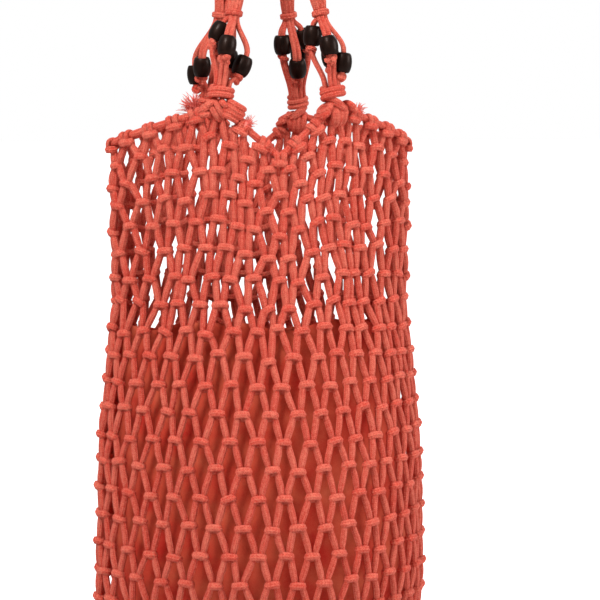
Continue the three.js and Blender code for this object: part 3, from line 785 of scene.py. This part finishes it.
def bead_wood():
    material = bpy.data.materials.new("stained_bead_wood")
    material.use_nodes = True
    tree = material.node_tree
    shader = tree.nodes["Principled BSDF"]
    shader.inputs["Specular IOR Level"].default_value = 0.14
    shader.inputs["Specular Tint"].default_value = (1.0, 0.62, 0.5, 1)
    shader.inputs["Coat Weight"].default_value = 0.05
    shader.inputs["Coat Roughness"].default_value = 0.14
    place = tree.nodes.new("ShaderNodeTexCoord")
    stretch = tree.nodes.new("ShaderNodeMapping")
    stretch.inputs["Scale"].default_value = (1.0, 1.0, 0.16)
    tree.links.new(place.outputs["Object"], stretch.inputs["Vector"])
    grain = noise(tree, stretch.outputs["Vector"], 900.0, 5.0, 0.6)
    cloud = noise(tree, place.outputs["Object"], 130.0, 3.0)
    share = maths(tree, "ADD", maths(tree, "MULTIPLY", grain, 0.75), maths(tree, "MULTIPLY", cloud, 0.9))
    share = maths(tree, "SUBTRACT", share, 0.5, clamp=True)
    colour = mix_colours(tree, share, (0.001, 0.0005, 0.0004), (0.02, 0.0075, 0.005))
    tree.links.new(colour, shader.inputs["Base Color"])
    tree.links.new(maths(tree, "ADD", maths(tree, "MULTIPLY", cloud, 0.25), 0.3), shader.inputs["Roughness"])
    relief = tree.nodes.new("ShaderNodeBump")
    relief.inputs["Strength"].default_value = 0.25
    relief.inputs["Distance"].default_value = 0.0002
    tree.links.new(grain, relief.inputs["Height"])
    tree.links.new(relief.outputs["Normal"], shader.inputs["Normal"])
    return material


wood_material = bead_wood()


def put_bead(end, bead_name, centre, direction):
    mesh = bead_model.data.copy()
    spot = Matrix(end.turn.tolist()) @ Matrix(turned_from_up(direction).tolist())
    spun = spot @ Matrix.Rotation(draw.random() * 6.28, 3, "Z")
    place = Matrix.Translation(Vector(end.from_basket(centre))) @ spun.to_4x4()
    mesh.transform(place)
    name = f"bead_{end.name}_{bead_name}"
    piece = bpy.data.objects.new("wood_" + name, mesh)
    scene.collection.objects.link(piece)
    mesh.materials.clear()
    mesh.materials.append(wood_material)
    keep(piece, "bead_wood", name)


for end in ends.values():
    cords = CordMesh()
    marks = {name: strand_marks(end.height, *numbers) for name, numbers in BEADS[end.name].items()}
    order = sorted(marks, key=lambda name: math.atan2(marks[name][0][1], marks[name][0][0]))
    turns = [math.atan2(marks[name][0][1], marks[name][0][0]) for name in order]
    base = sum(turn - k * math.pi / 2 for k, turn in enumerate(turns)) / 4
    for k, name in enumerate(order):
        outward, centre, direction = marks[name]
        for side in (-1, 1):
            slot = base + k * math.pi / 2 + side * math.pi / 8
            line = strand_line(end.height, outward, centre, direction, side, slot)
            cords.add(end.from_basket(line), HANDLE_CORD_RADIUS)
        facing = turned_from_up(unit(outward + draw.normal(0, 0.3, 3)))
        knot = stopper_knot() @ facing.T + centre - direction * (BEAD_HEIGHT / 2 + 2.9 * MM)
        cords.add(end.from_basket(knot), 2.15 * MM, 8, None, closed=True)
        put_bead(end, name, centre, direction)
    keep(cords.build("basket_cords_" + end.name, cord_material), "cord", "strands_" + end.name)

    wrap = CordMesh()
    spiral = helix(6.1 * MM, 1.2 * MM, WRAP_HEIGHT - 1.2 * MM, 2.0, 44, 1.0)
    wrap.add(end.from_basket(spiral + (0, 0, end.height)), 1.75 * MM, 8)
    keep(wrap.build("basket_wrap_" + end.name, cord_material), "cord", "wrap_" + end.name)

    winding = CordMesh()
    reach, thick = WINDINGS[end.name.split("_")[0]]
    spiral = helix(reach, 1.6 * MM, GATHER_HEIGHT - 2.4 * MM, 2.1, 56, 2.0)
    winding.add(end.from_seat(spiral), thick, 10)
    keep(winding.build("gather_winding_" + end.name, cord_material), "cord", "gather_" + end.name)
bpy.data.objects.remove(bead_model)

# Folds of the handle cords round the rim below each gather: place across and above the seat of
# the gather in mm, lean of the fold in degrees from upright, half its length in mm
FOLDS = {
    "front_left": (
        (-5.0, -10.3, 33, 10.0), (-0.6, -7.6, 33, 10.0), (14.0, -4.8, 60, 9.5), (12.2, -8.3, 60, 10.4),
        (10.4, -11.6, 60, 10.4), (8.6, -14.8, 60, 9.0), (4.0, -4.0, 45, 6.5), (-10.0, -4.5, -60, 8.0),
        (-13.0, -8.0, -68, 7.0), (-12.5, -12.5, -80, 6.0),
    ),
    "front_right": (
        (-3.1, -13.5, 4, 9.5), (0.7, -14.0, 1, 10.0), (4.5, -13.5, -2, 10.0), (8.3, -12.5, -6, 9.5),
        (1.0, -2.5, 62, 9.0), (3.4, -6.0, 60, 10.0), (14.5, -5.5, 40, 5.5), (16.5, -8.5, 40, 5.0),
        (-8.5, -8.0, -50, 7.5), (-10.0, -12.0, -48, 7.0),
    ),
    "back_left": (
        (-4.4, -12.5, 6, 9.5), (-0.2, -13.5, 3, 10.0), (4.0, -13.0, -3, 10.0), (8.0, -11.5, -8, 9.0),
        (-1.0, -3.0, -58, 9.0), (1.5, -6.5, -58, 10.0), (-10.5, -7.0, -66, 8.5), (-13.5, -11.5, -62, 7.5),
    ),
    "back_right": (
        (-4.6, -12.5, 6, 9.5), (-0.4, -13.5, 2, 10.0), (3.8, -13.0, -3, 10.0), (7.8, -11.5, -8, 9.0),
        (0.0, -3.0, 55, 9.0), (2.5, -6.5, 57, 10.0), (10.5, -7.0, 66, 8.5), (13.5, -11.5, 62, 7.5),
    ),
}
FOLD_RADIUS = 2.75 * MM
angle = np.linspace(0, 2 * math.pi, 18, endpoint=False)
for name, folds in FOLDS.items():
    loops = CordMesh()
    _, run, _, out = rim_frame(np.array(PEAKS[name]))
    run = unit(run * (1, 1, 0))
    above = np.array((0, 0, 1.0))
    for across, height, lean, half in folds:
        steep = abs(lean) < 35
        lean = math.radians(lean + draw.normal(0, 2))
        length = above * math.cos(lean) - run * math.sin(lean)
        beside = run * math.cos(lean) + above * math.sin(lean)
        centre = ends[name].seat + run * across * MM + above * height * MM
        depth = (6.0 if steep else 7.5) * MM
        line = centre + length * ((half - 2.3) * MM * np.cos(angle))[:, None]
        line = line + out * (depth * np.sin(angle))[:, None]
        loops.add(line, FOLD_RADIUS, 8, beside, closed=True, squeeze=0.95)
    keep(loops.build("rim_folds_" + name, cord_material), "cord", "gather_" + name)

# ---------------------------------------------------------------- handles
ROUND = 0.5523
for depth in ("front", "back"):
    parts = []
    for side_name, sign in (("left", -1), ("right", 1)):
        end = ends[f"{depth}_{side_name}"]
        top = end.top
        side = top + np.array((sign, 0, -1)) * HANDLE_ARCH / 2
        reach = np.linalg.norm(side - end.start) / 3
        up = np.array((0, 0, 1.0))
        rise = bezier(end.start, end.start + end.axis * reach, side - up * reach, side, 34)
        bend = HANDLE_ARCH / 2 * ROUND
        arch = bezier(side, side + up * bend, top + np.array((sign, 0, 0)) * bend, top, 10)
        first = end.start - end.axis * 3 * MM
        parts.append(np.vstack([[first], rise, arch[1:]]))
    line = smooth_line(np.vstack([parts[0], parts[1][::-1][1:]]), 110)
    facing = carried(line[None])[0]
    ahead = unit(np.gradient(line, axis=0))
    side = np.cross(ahead, facing)
    run = np.r_[0, np.cumsum(np.linalg.norm(np.diff(line, axis=0), axis=1))]
    near = np.minimum(run, run[-1] - run)
    ease = np.clip(near / (16 * MM), 0, 1)
    ease = ease * ease * (3 - 2 * ease)
    bundle = CordMesh()
    for k in range(8):
        waves = draw.random(4) * 6.28
        angle = k * math.pi / 4 + 1.2 * run / 0.1 * 0.35
        angle = angle + ease * (0.28 * np.sin(run / 0.021 + waves[0]) + 0.2 * np.sin(run / 0.009 + waves[1]))
        spread = HEAD_RADIUS + ease * (1.6 * MM + 0.5 * MM * np.sin(run / 0.014 + waves[2]))
        cord = line + facing * (spread * np.cos(angle))[:, None] + side * (spread * np.sin(angle))[:, None]
        bundle.add(cord, HANDLE_CORD_RADIUS)
    keep(bundle.build(f"handle_cords_{depth}", cord_material), "cord", "handle_" + depth)

# ---------------------------------------------------------------- frayed ends
# Place of each on the rim (share of the way round), shift along, above and out in mm, direction
# as right, above and towards the front, length in mm, number of threads
TUFTS = (
    (PEAKS["back_left"], 10.0, 6.0, 5.0, (-0.5, 0.85, 0.25), 17.0, 170),
    (PEAKS["front_left"], 23.5, -11.5, 1.0, (0.6, 0.75, 0.1), 9.0, 34),
    (0.0, -9.0, 3.0, -2.0, (0.1, 1.0, 0.2), 7.0, 40),
    (PEAKS["front_right"], 25.0, -1.0, -1.0, (0.8, 0.6, 0.0), 8.0, 50),
)
frayed = CordMesh()
for share, shift, height, proud, aim, length, threads in TUFTS:
    point, run, above, out = rim_frame(np.array(share))
    base = point + unit(run * (1, 1, 0)) * shift * MM + (0, 0, height * MM) + out * proud * MM
    aim = unit(np.array(aim) * (1, 1, 1))[[0, 2, 1]] * (1, -1, 1)
    frayed.add(np.linspace(base - aim * 9 * MM, base, 4), (2.7 * MM, 2.8 * MM, 2.7 * MM, 2.2 * MM))
    t = np.linspace(0, 1, 6)[:, None]
    for _ in range(threads):
        away = unit(aim + draw.normal(0, 0.42, 3))
        curl = np.cross(away, draw.normal(0, 1, 3)) * length * 0.25 * MM
        start = base - aim * 2 * MM + (away - aim) * 2.2 * MM
        reach = length * (0.45 + 0.7 * draw.random()) * MM
        line = start + away * reach * t + curl * t * t
        frayed.add(line, np.linspace(0.5, 0.2, 6) * MM, 3)
keep(frayed.build("frayed_ends", frayed_material), "cord")

# ---------------------------------------------------------------- lining
LINING_WALL = 1.2 * MM
LINING_SLACK = 7.5 * MM
LINING_EASING = 0.16
LINING_DROP = 150 * MM
LINING_ROUND = 180
LINING_DOWN = 54
HEM_DEPTH = 11 * MM


def lining_inset(along):
    easing = PROFILE_LENGTH / LINING_SLACK * LINING_EASING
    return NET_WALL + FIT_GAP + LINING_SLACK * np.minimum(1, (1 - along) * easing)


def lining_grid():
    """Pouch of cloth in soft upright folds, deepest under the hem."""
    start = np.interp(LINING_DROP, profile[:, 0], np.linspace(0, 1, ALONG_STEPS))
    share = np.linspace(0, 1, LINING_ROUND, endpoint=False)[None]
    t = np.linspace(0, 1, LINING_DOWN)[:, None] ** 1.15
    turn = share * 2 * math.pi
    wave = np.sin(11 * turn + 0.9) + 0.7 * np.sin(17 * turn + 2.1) + 0.5 * np.sin(29 * turn + 0.4)
    edge = (np.sin(5 * turn + 1.0) * 2.0 + np.sin(9 * turn) * 1.4 + wave * 0.5) * MM
    edge = edge + (6.5 * (1 - np.cos(turn)) - 5.0) * MM
    along = start + (1 - start) * t + edge * (1 - t) ** 2 / PROFILE_LENGTH
    drift = np.sin(7 * turn + 5 * t) + 0.6 * np.sin(13 * turn - 4 * t + 1.0)
    fold = (wave * 0.9 * (1 - t) + drift * 1.1) * MM * np.clip((1 - t) * 5, 0, 1)
    hem = np.exp(-(((along - start) * PROFILE_LENGTH - HEM_DEPTH) / (1.4 * MM)) ** 2) * 0.7 * MM
    seam = np.exp(-((np.mod(share, 0.5) - 0.25) * girth_at(along) / (2.2 * MM)) ** 2) * 1.2 * MM
    inset = lining_inset(along) + 1.4 * MM - fold * 0.75 + hem - seam
    points, _, _, _ = wall(share, along, inset)
    return points


grid = lining_grid()
rows_down, round_count = grid.shape[:2]
p, k = np.meshgrid(np.arange(rows_down - 1), np.arange(round_count), indexing="ij")
p, k = p.ravel(), k.ravel()
after = (k + 1) % round_count
faces = np.stack([p * round_count + k, (p + 1) * round_count + k], 1)
faces = np.hstack([faces, np.stack([(p + 1) * round_count + after, p * round_count + after], 1)]).tolist()
last = (rows_down - 1) * round_count
quarter = round_count // 4
for step in range(-quarter, quarter):
    front_now, front_next = last + step % round_count, last + (step + 1) % round_count
    back_now = last + (round_count // 2 - step) % round_count
    back_next = last + (round_count // 2 - step - 1) % round_count
    ring = [front_now, back_now, back_next, front_next]
    ring = [point for n, point in enumerate(ring) if point != ring[n - 1]]
    faces.append(ring)
mesh = bpy.data.meshes.new("lining_pouch")
mesh.from_pydata(grid.reshape(-1, 3).tolist(), [], faces)
mesh.update()
lining = bpy.data.objects.new("lining_pouch", mesh)
scene.collection.objects.link(lining)
chart = mesh.uv_layers.new(name="weave")
flat_map = np.stack(
    [
        np.broadcast_to(np.linspace(0, 0.8, round_count, endpoint=False)[None], (rows_down, round_count)),
        np.broadcast_to(np.linspace(0.4, 0, rows_down)[:, None], (rows_down, round_count)),
    ],
    -1,
).reshape(-1, 2)
corner_points_used = np.array([loop.vertex_index for loop in mesh.loops])
chart.data.foreach_set("uv", flat_map[corner_points_used].astype(np.float32).ravel())
bpy.ops.object.select_all(action="DESELECT")
bpy.context.view_layer.objects.active = lining
lining.select_set(True)
bpy.ops.object.mode_set(mode="EDIT")
bpy.ops.mesh.select_all(action="SELECT")
bpy.ops.mesh.normals_make_consistent(inside=False)
bpy.ops.object.mode_set(mode="OBJECT")
thick = lining.modifiers.new("cloth_thickness", "SOLIDIFY")
thick.thickness = LINING_WALL
thick.offset = -1
bpy.ops.object.modifier_apply(modifier="cloth_thickness")
bpy.ops.object.shade_smooth()


def lining_cloth():
    material = bpy.data.materials.new("woven_coral_cotton")
    material.use_nodes = True
    tree = material.node_tree
    shader = tree.nodes["Principled BSDF"]
    shader.inputs["Roughness"].default_value = 0.9
    shader.inputs["Specular IOR Level"].default_value = 0.2
    place = tree.nodes.new("ShaderNodeTexCoord")
    cloud = noise(tree, place.outputs["Object"], 30.0, 3.0)
    thread = noise(tree, place.outputs["Object"], 900.0, 2.0)
    # Random patches of painted light and painted shade on the cloth, mixed with its own tone: a shaded dark red and a
    # lit orange
    share = maths(tree, "ADD", maths(tree, "MULTIPLY", cloud, 2.2), maths(tree, "MULTIPLY", thread, 0.6))
    share = maths(tree, "SUBTRACT", share, 0.95, clamp=True)
    colour = mix_colours(tree, share, (0.57, 0.028, 0.017), (0.7, 0.14, 0.068))
    tree.links.new(colour, shader.inputs["Base Color"])
    chart = tree.nodes.new("ShaderNodeUVMap")
    chart.uv_map = "weave"
    split = tree.nodes.new("ShaderNodeSeparateXYZ")
    tree.links.new(chart.outputs[0], split.inputs[0])
    rows = [
        maths(tree, "SINE", maths(tree, "MULTIPLY", split.outputs[k], 2 * math.pi / 0.0009)) for k in (0, 1)
    ]
    weave = maths(tree, "MULTIPLY", rows[0], rows[1])
    relief = tree.nodes.new("ShaderNodeBump")
    relief.inputs["Strength"].default_value = 0.35
    relief.inputs["Distance"].default_value = 0.0002
    tree.links.new(maths(tree, "ADD", weave, thread), relief.inputs["Height"])
    tree.links.new(relief.outputs["Normal"], shader.inputs["Normal"])
    return material


lining.data.materials.append(lining_cloth())
keep(lining, "lining", "lining")

# ---------------------------------------------------------------- light and floor
scene.view_settings.view_transform = "Standard"
world = bpy.data.worlds.new("studio")
scene.world = world
world.use_nodes = True
AMBIENT_LIGHT = 0.38
SKY_OVER_GROUND = 0.22
backdrop = world.node_tree.nodes["Background"]
backdrop.inputs["Color"].default_value = (1, 1, 1, 1)
seen = world.node_tree.nodes.new("ShaderNodeLightPath")
towards = world.node_tree.nodes.new("ShaderNodeTexCoord")
height = world.node_tree.nodes.new("ShaderNodeSeparateXYZ")
world.node_tree.links.new(towards.outputs["Generated"], height.inputs[0])
glow = maths(world.node_tree, "MULTIPLY", height.outputs[2], SKY_OVER_GROUND)
glow = maths(world.node_tree, "ADD", glow, AMBIENT_LIGHT)
strength = maths(world.node_tree, "MAXIMUM", glow, seen.outputs["Is Camera Ray"])
world.node_tree.links.new(strength, backdrop.inputs["Strength"])


def softbox(name, place, size, power):
    bpy.ops.object.light_add(type="AREA", location=place)
    lamp = bpy.context.object
    lamp.name = name
    lamp.data.shape = "SQUARE"
    lamp.data.size = size
    lamp.data.energy = power
    lamp.visible_camera = False
    lamp.rotation_mode = "QUATERNION"
    middle = Vector((0, 0, -0.45))
    lamp.rotation_quaternion = (middle - Vector(place)).to_track_quat("-Z", "Y")


softbox("key_softbox", (-0.85, -1.0, 1.0), 0.55, 31)
softbox("fill_softbox", (1.9, -0.8, 0.3), 1.0, 24)
softbox("back_softbox", (1.3, 1.8, 0.8), 1.2, 16)

FLOOR_HEIGHT = -0.86
bpy.ops.mesh.primitive_grid_add(x_subdivisions=4, y_subdivisions=4, size=60, location=(0, 0, FLOOR_HEIGHT))
floor = bpy.context.object
floor.name = "studio_floor"
floor_material = bpy.data.materials.new("pale_floor")
floor_material.use_nodes = True
floor_material.node_tree.nodes["Principled BSDF"].inputs["Base Color"].default_value = (0.7, 0.7, 0.7, 1)
floor_material.node_tree.nodes["Principled BSDF"].inputs["Roughness"].default_value = 0.8
floor_material.node_tree.nodes["Principled BSDF"].inputs["Emission Color"].default_value = (1, 1, 1, 1)
floor_tree = floor_material.node_tree
direct = floor_tree.nodes.new("ShaderNodeLightPath")
glow = maths(floor_tree, "MULTIPLY", direct.outputs["Is Camera Ray"], 0.9)
floor_tree.links.new(glow, floor_tree.nodes["Principled BSDF"].inputs["Emission Strength"])
floor.data.materials.append(floor_material)
